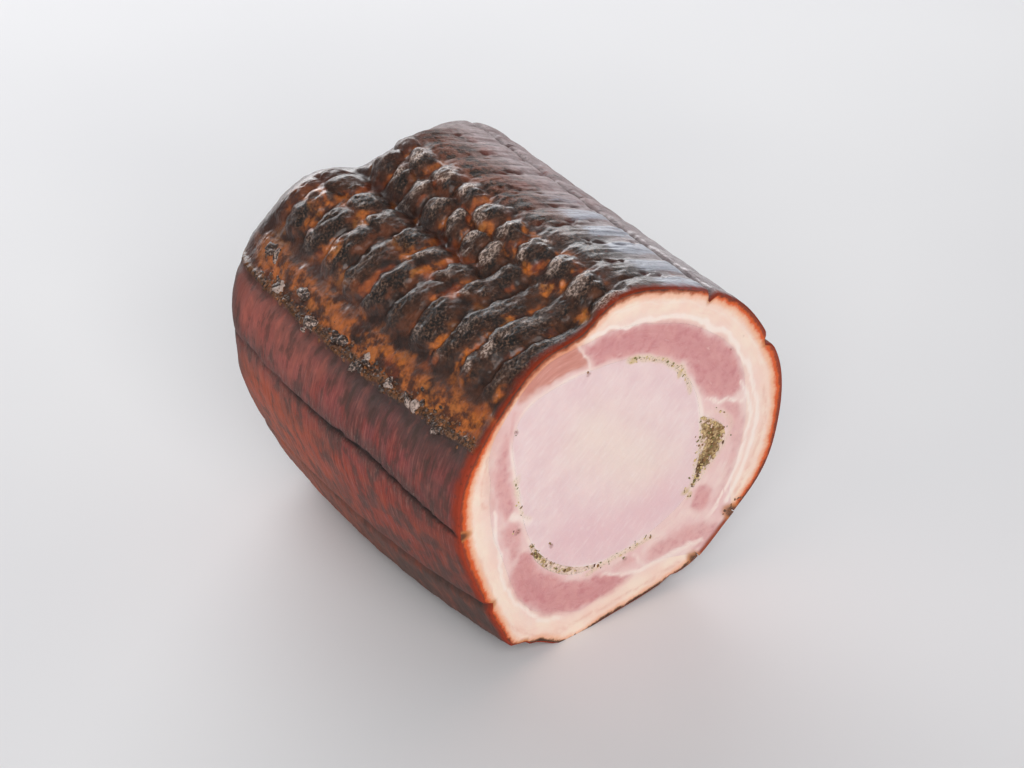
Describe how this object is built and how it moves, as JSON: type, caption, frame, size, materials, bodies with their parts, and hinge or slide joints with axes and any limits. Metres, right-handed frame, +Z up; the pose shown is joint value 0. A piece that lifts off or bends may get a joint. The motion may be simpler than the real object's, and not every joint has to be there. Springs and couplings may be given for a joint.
{
  "type": "roast pork",
  "caption": "Rolled smoked pork roast on its side: pale loin wrapped in belly with rind, herb filling at the cut face, net-ridged dark crust, rounded browned end.",
  "frame": {"origin": "bottom centre of the bounding box, on the flat that the roast lies on", "axes": "+Z up, the roll's axis along Y, the cut face towards -Y and the browned end towards +Y, the net-marked crust up and towards -X"},
  "size_m": [0.1387, 0.1404, 0.1309],
  "materials": {
    "browned_rind": "smoked dark brown rind, glossy in the hollows and matt on the charred ridges",
    "belly_meat": "moist cured pink lean with pale fat seams",
    "loin_meat": "moist pale pink cooked loin",
    "herb_filling": "rough chopped green and brown herbs"
  },
  "bodies": {
    "root": {"fat_and_rind": "browned_rind", "belly_lean": "belly_meat", "loin": "loin_meat", "herb_pocket": "herb_filling", "herb_seam": "herb_filling"}
  },
  "joints": []
}
